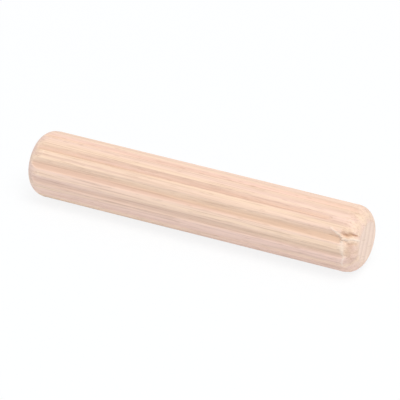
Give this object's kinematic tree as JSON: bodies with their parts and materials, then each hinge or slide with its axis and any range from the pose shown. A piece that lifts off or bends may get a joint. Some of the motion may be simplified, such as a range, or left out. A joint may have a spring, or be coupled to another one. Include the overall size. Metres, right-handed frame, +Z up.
{
  "type": "dowel pin",
  "caption": "Straight fluted wooden dowel pin with rounded ends and flat sawn end faces, lying on its ribs.",
  "frame": {"origin": "on the resting surface, below the middle of the pin", "axes": "+X along the pin, +Y across it, +Z up"},
  "size_m": [0.042, 0.008, 0.008],
  "materials": {
    "wood": "bare fine-grained beech, fluted by pressing, ends milled round and sawn flat, no coating"
  },
  "bodies": {
    "root": {"dowel_pin": "wood"}
  },
  "joints": []
}
